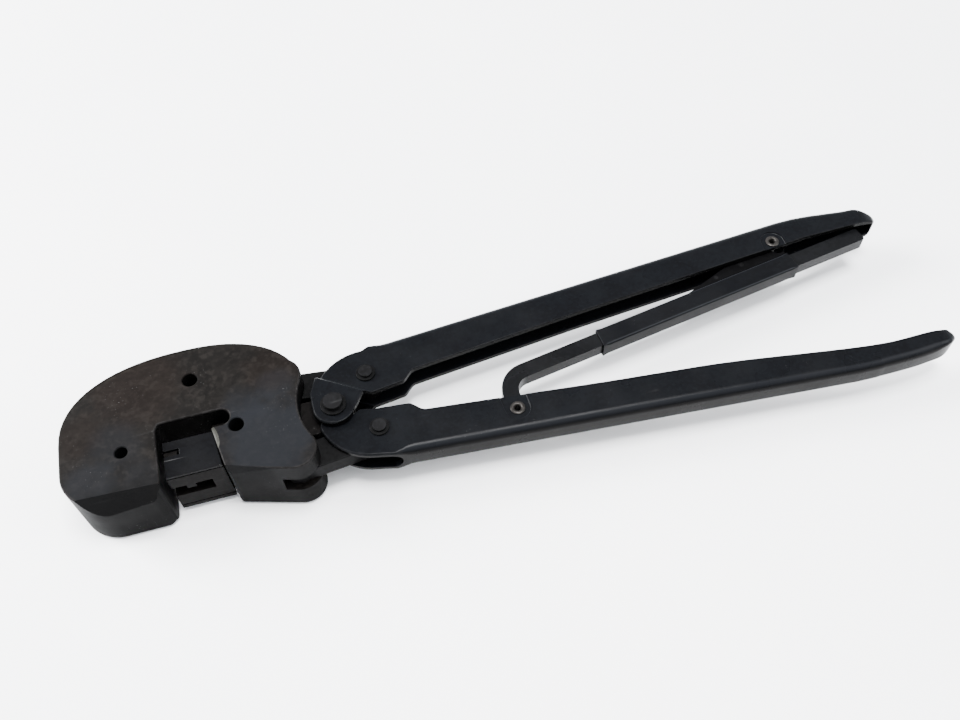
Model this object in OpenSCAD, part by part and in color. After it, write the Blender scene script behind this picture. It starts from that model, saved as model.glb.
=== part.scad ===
// Heavy-head hand crimping tool, closed, lying flat on its head.
// Design axes: X runs along the ram from the anvil to the handle tips, Z is up,
// and the main pivot pin stands at X = Y = 0 until place() centres the tool.

/* [Head] */
// Thickness of the forged head
head_t = 28; // [27.5:0.1:29]
// Distance from the main pivot to the anvil end of the head
head_reach = 97.3; // [97:0.1:99]
// Distance from the ram axis to the crown of the head
head_crown = 38; // [37.6:0.1:39]
// Distance from the ram axis to the front face of the jaw
jaw_front = 19.1; // [18.8:0.1:20]
// Anvil face, as a distance from the main pivot
anvil_x = 64.2; // [63.4:0.1:64.6]
// Radius of the upper rear lobe
lobe_r = 7.7; // [7.5:0.1:8]
// Radius of the lower rear lobe
low_lobe_r = 8.2; // [7.8:0.1:8.4]
// Radius of the two larger holes in the head
head_hole_r = 2.8; // [2.5:0.1:2.9]
// Radius of the small hole in the jaw
jaw_hole_r = 2.3; // [2:0.1:2.6]

/* [Linkage] */
// Height of the linkage's middle plane above the base of the head
link_z = 15.5; // [15.2:0.1:15.5]
// Thickness of the two toggle links
link_t = 7; // [6.6:0.1:7]
// Radius of a link's eyes
link_eye_r = 5.9; // [5.8:0.1:6]
// Width of a link between its eyes
link_w = 11.4; // [9:0.1:11.4]
// Radius of the link pins in the head
link_pin_r = 3; // [2.6:0.1:3.2]
// Radius of the toggle pins in the handles
toggle_pin_r = 2.55; // [2.3:0.05:2.6]
// Radius of the main pivot pin
main_pin_r = 3.5; // [3.2:0.1:3.6]
// Radial clearance of a pin that turns in its hole
run_gap = 0.05; // [0.02:0.01:0.08]
// Radial clearance of the links on the toggle pins
toggle_gap = 0.3; // [0.25:0.01:0.35]

/* [Handles] */
// Width of a handle channel over its two cheeks
handle_t = 11.6; // [11.5:0.1:11.8]
// Thickness of the handle sheet
sheet = 2; // [1.9:0.05:2]
// Distance from the main pivot to the handle tips
tip_x = 237.4; // [236:0.1:240]
// Distance from the ram axis to the handle back near its tip
back_y = 39.8; // [39.4:0.1:40.2]
// Radius of the lower handle's ears round the main pin
ear_r = 7.1; // [7:0.1:7.4]
// Radius of the upper handle's ears, which lie outside
outer_ear_r = 7.8; // [7.4:0.1:8]
// Gap between the outer ears and the inner ears
ear_gap = 1.1; // [0.9:0.1:1.3]

/* [Ratchet] */
// Angle of the ratchet bar to the ram axis
bar_angle = 9.4; // [9.4:0.05:9.5]
// Width of the ratchet bar
bar_w = 6.4; // [6.2:0.1:6.4]
// Thickness of the ratchet bar
bar_t = 5.2; // [5:0.1:5.2]
// Height of the bar's straight part over its rivet, square to the bar
bar_rise = 15.7; // [15.6:0.1:15.8]
// Reach of the bar's far end from its rivet, along the bar
bar_reach = 168; // [167:0.5:169]
// Pitch of the ratchet teeth
tooth_pitch = 2.4; // [2.2:0.1:2.6]
// Depth of the ratchet teeth
tooth_h = 0.9; // [0.8:0.05:1]
// Thickness of the housing sheet
case_sheet = 0.7; // [0.6:0.05:0.7]
// Start of the housing, along the bar from its rivet
case_start = 44; // [43.5:0.5:46]
// End of the housing, along the bar from its rivet
case_end = 133.8; // [133:0.2:134]

/* [Hidden] */
$fn = 72;

over = 1;                                   // how far a cut runs past the solid
step = 6;                                   // degrees between points of an arc
mid_x = (tip_x - head_reach) / 2;           // middle of the tool's length
slot_t = link_t + 0.8;                      // clevis and ram channel in the head
inner_t = handle_t - 2 * sheet;             // room between the cheeks
ear_in = handle_t / 2 + ear_gap;            // inner face of the outer ears
ear_out = ear_in + sheet;                   // outer face of the outer ears
slide_gap = 0.3;                            // ram to its channel
ring_t = 0.8;                               // thickness of a retaining ring
ring_d = 0.6;                               // depth of its groove in the pin
pin_end = 1.8;                              // how far a toggle pin stands out of its cheek
main_pin_end = 2.8;                         // how far the main pin stands out of the ears

link_pin = [-16.8, 15.9];                   // upper link pin in the head
toggle_pin = [14.3, 12.3];                  // upper toggle pin in its handle
bar_pivot = [65, -18.5];                    // bar rivet in the lower handle
case_pivot = [189.5, 28.8];                 // housing rivet in the upper handle

crown_x = -50;                              // the head's crown along X
crown_base = 7.3;                           // where the crown's curve begins in Y
crown_half = 41.8;                          // half width of the crown's rear part
crown_power = 2.3;                          // squareness of the crown's front part
rear_power = 2.25;                          // squareness of its rear part
jaw_corner_r = 14.5;                        // rounded front corner of the jaw
throat_top = 7.5;                           // back wall of the throat
relief_w = 6.7;                             // width of the relief slot
relief_end = -40.2;                         // centre of the relief slot's round end
foot_corner = [-41, -17.1];                 // corner of throat and foot
waist_r = 27.2;                             // hollow between the rear lobes
waist_x = 14.6;                             // centre of that hollow
clevis_x = -23.3;                           // depth of the clevis slot
neck = [-10, 12.3];                         // where the crown's outline meets the upper rear lobe
flare = 4;                                  // rounding of the anvil's lower edge
bevel_y = 3.4;                              // bevel along the jaw's top front edge
bevel_z = 9.5;
locator_hole = [-49.1, 23.5];
guide_hole = [-35, -0.5];
jaw_hole = [-75.7, -0.6];

block_l = -62;                              // ram block
block_r = -44;                              // its rear, at the back and at the front
block_front_r = -42.2;
block_y0 = -14.1;
block_y1 = 0.5;
block_h = 23.2;
tongue_y = 7.3;                             // half height of the ram tongue
pocket_r = -39.1;                           // end of the pocket for the block
pocket_front_r = -37.4;
pocket_gap = 0.4;
top_plate_t = 1.2;
bottom_plate_t = 2.1;
ram_z0 = (head_t - block_h) / 2;            // underside of the bottom plate
block_z0 = ram_z0 + bottom_plate_t;
block_z1 = ram_z0 + block_h - top_plate_t;
groove = 0.5;                               // dark lines round the ram's plates
key_slot_h = 6;                             // slot in the ram's front face
key_slot_z = 11.8;
key_slot_d = 8;
key_slot_end = -47.6;
screw_r = 1.25;
screw_h = 7;
screw_x = [-57, -48];
screw_y = -1;
plate_hole = [-56.3, -4.3];                 // small hole seen through the top plate's notch
plate_notch = [6.6, 2.4];
plate_notch_y = -5.5;
retainer = [3.4, 7.8, 2.6];
retainer_x = -57;

joggle_a = [-4.7, 13.6];                    // ends of the bend of the outer ears
joggle_b = [11.6, 2.9];
ear_corner = [-7.7, 7.2];                   // where an outer ear's edge turns round the pin
ear_angle = -40;
cheek_c = [14, 2.2];                        // round front of the upper handle's cheek
cheek_r = 21.2;
low_cheek_c = [13.6, 1.6];                  // round front of the lower handle's cheek
low_cheek_r = 20.8;
web_x = 17.5;                               // where the handle's back begins
web_y = 24.75;
front_angle = 145;                          // start of the round front, from the ear
web_cut_x = 16;                             // centre of the back's rounded front edge
rivet_r = 2;
rivet_hole_r = 1.1;
flange_r = 3;
flange_t = 0.55;
through = 40;                               // length of a cutter for a cross hole
recess_r = 4.6;
recess_d = 0.5;

hook_r = 8.8;                               // bend of the ratchet bar, at its middle
hook_angle = 80;                            // direction of the hook from the bar
hook_eye_r = 4.6;
teeth_start = 114;
teeth_end = 150;
tooth_side = 0.8;                           // top of the teeth above the bar's middle
case_gap = 0.2;                             // housing to bar
case_open = 96;                             // where the housing's top opens
pawl_at = [114, 23.4];
pawl_eye_r = 2.3;
pawl_pin_r = 1.2;
post_at = [101, 22];
post_r = 0.9;
eye_r = 5.75;                               // housing's ear round its rivet
eye_slot = 2.9;                             // half travel of the rivet in the ear
eye_slot_dir = 128;
eye_slot_r = 2.55;

function unit(v) = v / norm(v);
function xy(p) = [p[0], p[1]];
function turn(v) = [-v[1], v[0]];
function arc(c, r, a0, a1) =
    let (n = max(2, ceil(abs(a1 - a0) / step)))
    [for (i = [0:n]) c + r * [cos(a0 + (a1 - a0) * i / n), sin(a0 + (a1 - a0) * i / n)]];
function signed_power(v, k) = sign(v) * pow(abs(v), k);

// Part of an oval with half axes a and b; power 2 is an ellipse, and more is squarer
function oval(c, a, b, a0, a1, power) =
    let (n = ceil(abs(a1 - a0) / step))
    [for (i = [0:n]) let (t = a0 + (a1 - a0) * i / n)
        c + [a * signed_power(cos(t), 2 / power), b * signed_power(sin(t), 2 / power)]];

// Arc of radius r that rounds the corner at q between its neighbours p and s
function corner(p, q, s, r) = r <= 0 ? [q] :
    let (
        u = unit(p - q),
        v = unit(s - q),
        half = acos(u * v) / 2,
        c = q + unit(u + v) * r / sin(half),
        from = q + u * r / tan(half) - c,
        to = q + v * r / tan(half) - c,
        a = atan2(from[1], from[0]),
        b = atan2(to[1], to[0]),
        sweep = b - a > 180 ? b - a - 360 : b - a < -180 ? b - a + 360 : b - a
    )
    arc(c, r, a, a + sweep);

// Open path of [x, y, radius] corners moved sideways by d
function shifted(path, d) =
    let (n = len(path))
    [for (i = [0:n - 1])
        let (
            a = turn(unit(xy(path[i == 0 ? 1 : i]) - xy(path[i == 0 ? 0 : i - 1]))),
            b = turn(unit(xy(path[i == n - 1 ? i : i + 1]) - xy(path[i == n - 1 ? i - 1 : i]))),
            m = (a + b) / (1 + a * b)
        )
        [path[i][0] + d * m[0], path[i][1] + d * m[1], max(0, path[i][2] - abs(d))]];

module place() translate([-mid_x, 0, 0]) children();
module slab(t) translate([0, 0, link_z]) linear_extrude(t, center = true) children();
module peg(at, r, t) translate([at[0], at[1], link_z]) cylinder(r = r, h = t, center = true);
module along_bar() translate(bar_pivot) rotate(bar_angle) children();
module both_ways() {
    children();
    translate([0, 0, 2 * link_z]) mirror([0, 0, 1]) children();
}

// ---- head ----
function flip(p) = [p[0], -p[1]];

module head_plan() {
    crown = [crown_x, crown_base];
    left = head_reach + crown_x;
    jaw_c = [jaw_corner_r - head_reach, jaw_corner_r - jaw_front];
    foot_end = flip(link_pin) + low_lobe_r * [cos(253), sin(253)];
    difference() {
        union() {
            polygon(concat(
                [flip(neck), neck],
                oval(crown, crown_half, head_crown - crown_base, 12, 90, rear_power),
                oval(crown, left, head_crown - crown_base, 90, 180, crown_power),
                arc(jaw_c, jaw_corner_r, 180, 270),
                [[-anvil_x, -jaw_front], foot_corner, foot_end]
            ));
            translate(link_pin) circle(lobe_r);
            translate(flip(link_pin)) circle(low_lobe_r);
        }
        translate([waist_x, 0]) circle(waist_r, $fn = 120);
    }
}

module throat_plan() {
    mouth = -60;
    relief_y = throat_top - relief_w / 2;
    wall_top = [-44, throat_top - relief_w];
    foot_line = foot_corner + [22, -6.7];
    polygon(concat(
        arc([-anvil_x - flare, flare - jaw_front], flare, 270, 360),
        corner([-anvil_x, 0], [-anvil_x, throat_top], [relief_end, throat_top], 3),
        arc([relief_end, relief_y], relief_w / 2, 90, -90),
        [wall_top],
        corner(wall_top, foot_corner, foot_line, 2.5),
        [foot_corner + [5, mouth], [-anvil_x - flare, mouth]]
    ));
}

module pocket_plan() {
    top = throat_top - relief_w;
    bottom = block_y0 - pocket_gap;
    start = block_r - relief_w;
    polygon([[start, bottom], [pocket_front_r, bottom], [pocket_r, top], [start, top]]);
}

module bevel_cut()
    translate([-head_reach - over, 0, 0])
        rotate([90, 0, 90])
            linear_extrude(head_reach - anvil_x + 2 * over)
                polygon([
                    [-jaw_front, head_t - bevel_z], [bevel_y - jaw_front, head_t],
                    [bevel_y - jaw_front, head_t + over], [-jaw_front - over, head_t + over],
                    [-jaw_front - over, head_t - bevel_z]
                ]);

module head_frame() color([0.16, 0.14, 0.13]) place() difference() {
    linear_extrude(head_t) head_plan();
    translate([0, 0, -over]) linear_extrude(head_t + 2 * over) throat_plan();
    bevel_cut();
    slab(slot_t) translate([clevis_x, -60]) square([40, 120]);
    slab(slot_t) translate([block_r - over, -tongue_y - slide_gap])
        square([-block_r, 2 * (tongue_y + slide_gap)]);
    translate([0, 0, ram_z0 - pocket_gap]) linear_extrude(block_h + 2 * pocket_gap) pocket_plan();
    translate([locator_hole[0], locator_hole[1], -over])
        cylinder(r = head_hole_r, h = head_t + 2 * over);
    translate([jaw_hole[0], jaw_hole[1], -over]) cylinder(r = jaw_hole_r, h = head_t + 2 * over);
    translate([guide_hole[0], guide_hole[1], link_z]) cylinder(r = head_hole_r, h = head_t);
    for (p = [link_pin, flip(link_pin)])
        translate([p[0], p[1], -over]) cylinder(r = link_pin_r, h = head_t - 3);
}

module link_pin_at(p)
    place() translate([p[0], p[1], 0.5]) cylinder(r = link_pin_r, h = head_t - 5);
module upper_link_pin() color([0.3, 0.3, 0.31]) link_pin_at(link_pin);
module lower_link_pin() color([0.3, 0.3, 0.31]) link_pin_at(flip(link_pin));

// ---- toggle links ----
module toggle_link() place() difference() {
    run = toggle_pin - link_pin;
    slab(link_t) {
        translate(link_pin) circle(link_eye_r);
        translate(toggle_pin) circle(link_eye_r);
        translate(link_pin) rotate(atan2(run[1], run[0]))
            translate([0, -link_w / 2]) square([norm(run), link_w]);
    }
    peg(link_pin, link_pin_r + run_gap, link_t + over);
    peg(toggle_pin, toggle_pin_r + toggle_gap, link_t + over);
}
module upper_link() color([0.26, 0.26, 0.27]) toggle_link();
module lower_link() color([0.26, 0.26, 0.27]) mirror([0, 1, 0]) toggle_link();

// ---- ram ----
module block_plan()
    polygon([[block_l, block_y0], [block_front_r, block_y0], [block_r, block_y1], [block_l, block_y1]]);

module groove_cut(z)
    translate([block_l - over, block_y0 - over, z])
        cube([block_front_r - block_l + 2 * over, groove + over, groove]);

module ram() color([0.32, 0.32, 0.33]) place() difference() {
    union() {
        translate([0, 0, block_z0]) linear_extrude(block_z1 - block_z0) block_plan();
        slab(link_t + 0.2) {
            translate([block_r - over, -tongue_y]) square([over - block_r, 2 * tongue_y]);
            circle(tongue_y);
        }
    }
    groove_cut(block_z0);
    groove_cut(block_z1 - groove);
    translate([block_l - over, block_y0 - over, key_slot_z])
        cube([key_slot_end - block_l + over, key_slot_d + over, key_slot_h]);
    translate([plate_hole[0], plate_hole[1], block_z1 - 4]) cylinder(r = screw_r, h = 4 + over);
    for (x = screw_x) translate([x, screw_y, ram_z0]) cylinder(r = screw_r, h = screw_h);
    peg([0, 0], main_pin_r, 20);
}

module ram_top_plate() color([0.36, 0.36, 0.38]) place()
    translate([0, 0, block_z1]) linear_extrude(top_plate_t) difference() {
        block_plan();
        translate([block_l - over, plate_notch_y]) square(plate_notch);
    }

module ram_bottom_plate() color([0.3, 0.3, 0.31]) place() difference() {
    translate([0, 0, ram_z0]) linear_extrude(bottom_plate_t) block_plan();
    for (x = screw_x) translate([x, screw_y, ram_z0 - over]) cylinder(r = screw_r, h = screw_h);
}

module die_retainer() color([0.33, 0.33, 0.34]) place()
    translate([retainer_x, block_y0 + key_slot_d - retainer[1], key_slot_z + key_slot_h - retainer[2]])
        cube(retainer);

module ram_plate_screws() color([0.4, 0.4, 0.42]) place()
    for (x = screw_x)
        translate([x, screw_y, ram_z0 + 0.1]) cylinder(r = screw_r, h = screw_h - 0.1);

// ---- pins with a retaining ring at each end ----
module ringed_pin(r, face, end) difference() {
    peg([0, 0], r, 2 * (face + end));
    both_ways() translate([0, 0, link_z + face]) difference() {
        cylinder(r = r + over, h = ring_t);
        translate([0, 0, -over]) cylinder(r = r - ring_d, h = ring_t + 2 * over);
    }
}
module ring_pair(r, outer, face) both_ways() translate([0, 0, link_z + face]) difference() {
    cylinder(r = outer, h = ring_t);
    translate([0, 0, -over]) cylinder(r = r - ring_d, h = ring_t + 2 * over);
}

module main_pivot_pin() color([0.35, 0.35, 0.36]) place() ringed_pin(main_pin_r, ear_out + 0.1, main_pin_end);
module main_pin_rings() color([0.3, 0.3, 0.3]) place()
    ring_pair(main_pin_r, main_pin_r + 1.3, ear_out + 0.1);
module upper_toggle_pin() color([0.35, 0.35, 0.36]) place() translate(toggle_pin)
    ringed_pin(toggle_pin_r, handle_t / 2, pin_end);
module upper_toggle_rings() color([0.3, 0.3, 0.3]) place() translate(toggle_pin)
    ring_pair(toggle_pin_r, toggle_pin_r + 1.1, handle_t / 2);
module lower_toggle_pin() color([0.35, 0.35, 0.36]) place() translate(flip(toggle_pin))
    ringed_pin(toggle_pin_r, handle_t / 2, pin_end);
module lower_toggle_rings() color([0.3, 0.3, 0.3]) place() translate(flip(toggle_pin))
    ring_pair(toggle_pin_r, toggle_pin_r + 1.1, handle_t / 2);

// ---- handles: pressed channels with a cheek on each side and a back ----
back_path = [
    [web_x, web_y, 0], [203, back_y, 80], [231, back_y - 3.3, 12], [tip_x, 31.6, 2.7],
    [tip_x, 30.2, 0]
];
tip_corner = [tip_x, 27.6];
inner_edge = [[229, 27.6, 0], [203, 27, 8], [100, 16.9, 0], [31.4, 9.2, 4], [27.4, 5.1, 2.5]];

// Back of the handle, from its front to the tip, moved inwards by d
function back_line(d) =
    let (p = shifted(back_path, -d), last = len(p) - 1)
    concat(
        [xy(p[0])],
        [for (i = [1:last - 1]) each corner(xy(p[i - 1]), xy(p[i]), xy(p[i + 1]), p[i][2])],
        [xy(p[last])]
    );

module cheek_plan(front, c, r) {
    edge = [for (i = [1:len(inner_edge) - 1])
        each corner(xy(inner_edge[i - 1]), xy(inner_edge[i]),
            i < len(inner_edge) - 1 ? xy(inner_edge[i + 1]) : front[0], inner_edge[i][2])];
    polygon(concat(back_line(0), corner([tip_x, 40], tip_corner, [0, tip_corner[1]], 2.6),
        [xy(inner_edge[0])], edge, front, arc(c, r, front_angle, 88)));
}

// Cut that leaves the two cheeks apart and the back whole
module channel_cut() {
    slab(inner_t) polygon(concat([[-40, 70], [web_x, 70]], back_line(sheet),
        [[tip_x - sheet, -40], [-40, -40]]));
    translate([web_cut_x, 0, link_z]) rotate([-90, 0, 0]) cylinder(r = inner_t / 2, h = 60);
}

module rivet_seat(at)
    both_ways() translate([at[0], at[1], link_z + handle_t / 2 - recess_d])
        cylinder(r = recess_r, h = 3);

module upper_handle() color([0.1, 0.11, 0.13]) place() {
    normal = turn(unit(joggle_a - joggle_b));
    difference() {
        slab(handle_t) cheek_plan([joggle_b, joggle_a], cheek_c, cheek_r);
        channel_cut();
        peg(toggle_pin, toggle_pin_r, through);
        peg(case_pivot, rivet_r, through);
        rivet_seat(case_pivot);
    }
    both_ways() difference() {
        union() {
            translate([0, 0, link_z + ear_in]) linear_extrude(sheet) {
                circle(outer_ear_r);
                polygon([
                    [0, 0], outer_ear_r * [cos(ear_angle), sin(ear_angle)], joggle_b, joggle_a,
                    ear_corner, [-outer_ear_r, 0]
                ]);
            }
            translate([0, 0, link_z + inner_t / 2]) linear_extrude(ear_out - inner_t / 2)
                polygon([joggle_b, joggle_b - sheet * normal, joggle_a - sheet * normal, joggle_a]);
        }
        peg([0, 0], main_pin_r + run_gap, through);
    }
}

module lower_handle() color([0.1, 0.11, 0.13]) place() difference() {
    slab(handle_t) {
        mirror([0, 1])
            cheek_plan([[14, 3.9], [9, 2.6], [0, 7], [-6, 3.7]], low_cheek_c, low_cheek_r);
        circle(ear_r);
    }
    mirror([0, 1, 0]) channel_cut();
    peg([0, 0], main_pin_r + run_gap, through);
    peg(flip(toggle_pin), toggle_pin_r, through);
    peg(bar_pivot, rivet_r, through);
    rivet_seat(bar_pivot);
}

module rivet_at(p) place() translate(p) difference() {
    union() {
        peg([0, 0], rivet_r, handle_t);
        both_ways() translate([0, 0, link_z + handle_t / 2 - recess_d])
            cylinder(r = flange_r, h = flange_t);
    }
    peg([0, 0], rivet_hole_r, through);
}
module case_rivet() color([0.55, 0.55, 0.55]) rivet_at(case_pivot);
module bar_rivet() color([0.55, 0.55, 0.55]) rivet_at(bar_pivot);

module bar_spacers() color([0.3, 0.3, 0.31]) place() both_ways()
    translate([bar_pivot[0], bar_pivot[1], link_z + inner_t / 2 - 1]) difference() {
        cylinder(r = hook_eye_r - 0.2, h = 1);
        translate([0, 0, -over]) cylinder(r = rivet_r, h = 1 + 2 * over);
    }

// ---- ratchet, drawn along the bar with its rivet at the origin ----
module teeth_cut() {
    top = bar_rise + bar_w / 2;
    root = 0.3 * tooth_pitch;
    translate([0, 0, link_z - bar_t]) linear_extrude(bar_t + tooth_side)
        for (u = [teeth_end:-tooth_pitch:teeth_start])
            polygon([
                [u, top + over], [u - root, top - tooth_h], [u - tooth_pitch, top],
                [u - tooth_pitch, top + over]
            ]);
}

module bar_plan() {
    half = bar_w / 2;
    turn_v = bar_rise - hook_r;
    rise = (turn_v + hook_r * cos(hook_angle)) / sin(hook_angle);
    c = [rise * cos(hook_angle) + hook_r * sin(hook_angle), turn_v];
    neck = asin(half / hook_eye_r);
    difference() {
        polygon(concat(
            arc([0, 0], hook_eye_r, hook_angle + neck, hook_angle + 360 - neck),
            arc(c, hook_r - half, 90 + hook_angle, 90),
            corner([0, bar_rise - half], [bar_reach, bar_rise - half],
                [bar_reach, bar_rise + half], 1),
            corner([bar_reach, bar_rise - half], [bar_reach, bar_rise + half],
                [0, bar_rise + half], 1),
            arc(c, hook_r + half, 90, 90 + hook_angle)
        ));
        circle(rivet_r + run_gap);
    }
}
module ratchet_bar() color([0.24, 0.24, 0.24]) place() along_bar() difference() {
    slab(bar_t) bar_plan();
    teeth_cut();
}

case_in_w = bar_w / 2 + case_gap;           // half room in the housing, square to the bar
case_in_t = bar_t / 2 + case_gap;           // half room in the housing, along Z
case_w = case_in_w + case_sheet;
case_t = case_in_t + case_sheet;
tab_in_t = 1.9;                             // half room between the tabs, along Z
tab_t = tab_in_t + case_sheet;
case_b = [130.55, 26.33];                   // housing rivet, seen along the bar

module sleeve_plan() polygon([
    [case_start - 0.8, bar_rise - case_w], [case_end, bar_rise - case_w],
    [case_end, bar_rise + case_w], [case_start, bar_rise + case_w]
]);

module tab_plan() {
    polygon([
        [86, bar_rise + case_in_w], [case_end, bar_rise + case_in_w], [case_end, case_b[1]],
        [case_b[0], case_b[1] + eye_r - 1.2], [86, bar_rise + case_w]
    ]);
    translate(case_b) circle(eye_r);
}

module eye_slot_cut() translate(case_b) rotate(eye_slot_dir) {
    for (s = [-1, 1]) translate([s * eye_slot, 0, link_z])
        cylinder(r = eye_slot_r, h = 20, center = true);
    translate([-eye_slot, -eye_slot_r, link_z - 10]) cube([2 * eye_slot, 2 * eye_slot_r, 20]);
}

module ratchet_case() color([0.2, 0.2, 0.21]) place() along_bar() difference() {
    union() {
        slab(2 * case_t) sleeve_plan();
        slab(2 * tab_t) tab_plan();
    }
    slab(2 * case_in_t) translate([case_start - over, bar_rise - case_in_w])
        square([case_end - case_start + 2 * over, 2 * case_in_w]);
    slab(2 * tab_in_t) translate([case_open, bar_rise]) square([60, 30]);
    eye_slot_cut();
    peg(pawl_at, pawl_pin_r, 20);
    peg(post_at, post_r, 20);
}

module ratchet_pawl() color([0.3, 0.3, 0.3]) place() along_bar()
    slab(2 * tab_in_t - 0.4) difference() {
        tip_v = bar_rise + bar_w / 2 + 0.2;
        polygon(concat(
            arc(pawl_at, pawl_eye_r, 50, 250),
            [[pawl_at[0] + 4.6, tip_v + 0.5], [pawl_at[0] + 6.2, tip_v],
                [pawl_at[0] + 6.4, tip_v + 1.2]]
        ));
        translate(pawl_at) circle(pawl_pin_r + run_gap);
    }
module pawl_pin() color([0.4, 0.4, 0.4]) place() along_bar() peg(pawl_at, pawl_pin_r, 2 * tab_t);
module spring_post() color([0.4, 0.4, 0.4]) place() along_bar() peg(post_at, post_r, 2 * tab_t);

module pawl_spring() color([0.5, 0.5, 0.48]) place() along_bar() slab(3.2) {
    leaf = 0.4;
    difference() {
        translate(post_at) circle(post_r + leaf);
        translate(post_at) circle(post_r);
    }
    polygon([
        post_at + [0, post_r], pawl_at + [-0.5, pawl_eye_r + 0.5],
        pawl_at + [-0.5, pawl_eye_r + 0.5 + leaf], post_at + [0, post_r + leaf]
    ]);
}

head_frame();
upper_link_pin();
lower_link_pin();
upper_link();
lower_link();
ram();
ram_top_plate();
ram_bottom_plate();
die_retainer();
ram_plate_screws();
main_pivot_pin();
main_pin_rings();
upper_handle();
upper_toggle_pin();
upper_toggle_rings();
case_rivet();
lower_handle();
lower_toggle_pin();
lower_toggle_rings();
bar_rivet();
bar_spacers();
ratchet_bar();
ratchet_case();
ratchet_pawl();
pawl_pin();
spring_post();
pawl_spring();
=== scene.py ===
import math

import bmesh
import bpy
from mathutils import Matrix, Vector


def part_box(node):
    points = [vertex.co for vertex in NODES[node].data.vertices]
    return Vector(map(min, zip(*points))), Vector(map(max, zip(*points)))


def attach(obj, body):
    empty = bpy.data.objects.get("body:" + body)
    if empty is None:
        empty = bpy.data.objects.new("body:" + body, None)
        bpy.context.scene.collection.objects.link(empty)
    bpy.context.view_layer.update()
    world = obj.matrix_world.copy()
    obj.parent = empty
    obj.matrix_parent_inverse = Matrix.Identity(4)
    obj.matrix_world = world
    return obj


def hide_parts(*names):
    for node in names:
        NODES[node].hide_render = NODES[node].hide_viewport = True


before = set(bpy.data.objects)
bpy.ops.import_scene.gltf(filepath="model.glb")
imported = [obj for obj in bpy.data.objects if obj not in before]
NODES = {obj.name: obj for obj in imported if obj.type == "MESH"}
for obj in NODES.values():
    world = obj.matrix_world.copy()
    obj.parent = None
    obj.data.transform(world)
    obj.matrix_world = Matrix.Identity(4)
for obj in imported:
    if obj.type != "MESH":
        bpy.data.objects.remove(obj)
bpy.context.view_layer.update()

# The looks of a hand crimping tool, in metres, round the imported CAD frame.
# X runs from the crimping head to the handle tips and Z is up.

MM = 0.001


def middle(node):
    low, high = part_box(node)
    return (low + high) / 2


def half_size(node):
    """Half of a node's size; its x is the radius of an upright pin."""
    low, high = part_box(node)
    return (high - low) / 2


PIVOT = middle("main_pivot_pin")
MID_Z = PIVOT.z
RAM_LOW, RAM_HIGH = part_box("ram")
TOP_PLATE_LOW, TOP_PLATE_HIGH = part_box("ram_top_plate")
BOTTOM_PLATE_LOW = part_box("ram_bottom_plate")[0]
HEAD_LOW, HEAD_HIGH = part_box("head_frame")
LINK_LOW, LINK_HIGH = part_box("upper_link")
TIP_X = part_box("upper_handle")[1].x


# ---- camera ----
CAMERA_AT = (-0.0635, -0.1954, 0.3217)
CAMERA_TURN = 75.81        # degrees from +X to the line of sight, seen from above
CAMERA_PITCH = 55.36       # degrees below the horizon
CAMERA_ROLL = -1.99
CAMERA_LENS = 35.96        # for a sensor 36 mm wide


def make_camera():
    data = bpy.data.cameras.new("camera")
    data.lens = CAMERA_LENS
    data.sensor_width = 36
    data.clip_start = 0.01
    camera = bpy.data.objects.new("camera", data)
    bpy.context.scene.collection.objects.link(camera)
    turn = Matrix.Rotation(math.radians(CAMERA_TURN - 90), 4, "Z")
    tilt = Matrix.Rotation(math.radians(90 - CAMERA_PITCH), 4, "X")
    roll = Matrix.Rotation(math.radians(CAMERA_ROLL), 4, "Z")
    camera.matrix_world = Matrix.Translation(CAMERA_AT) @ turn @ tilt @ roll
    bpy.context.scene.camera = camera


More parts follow.
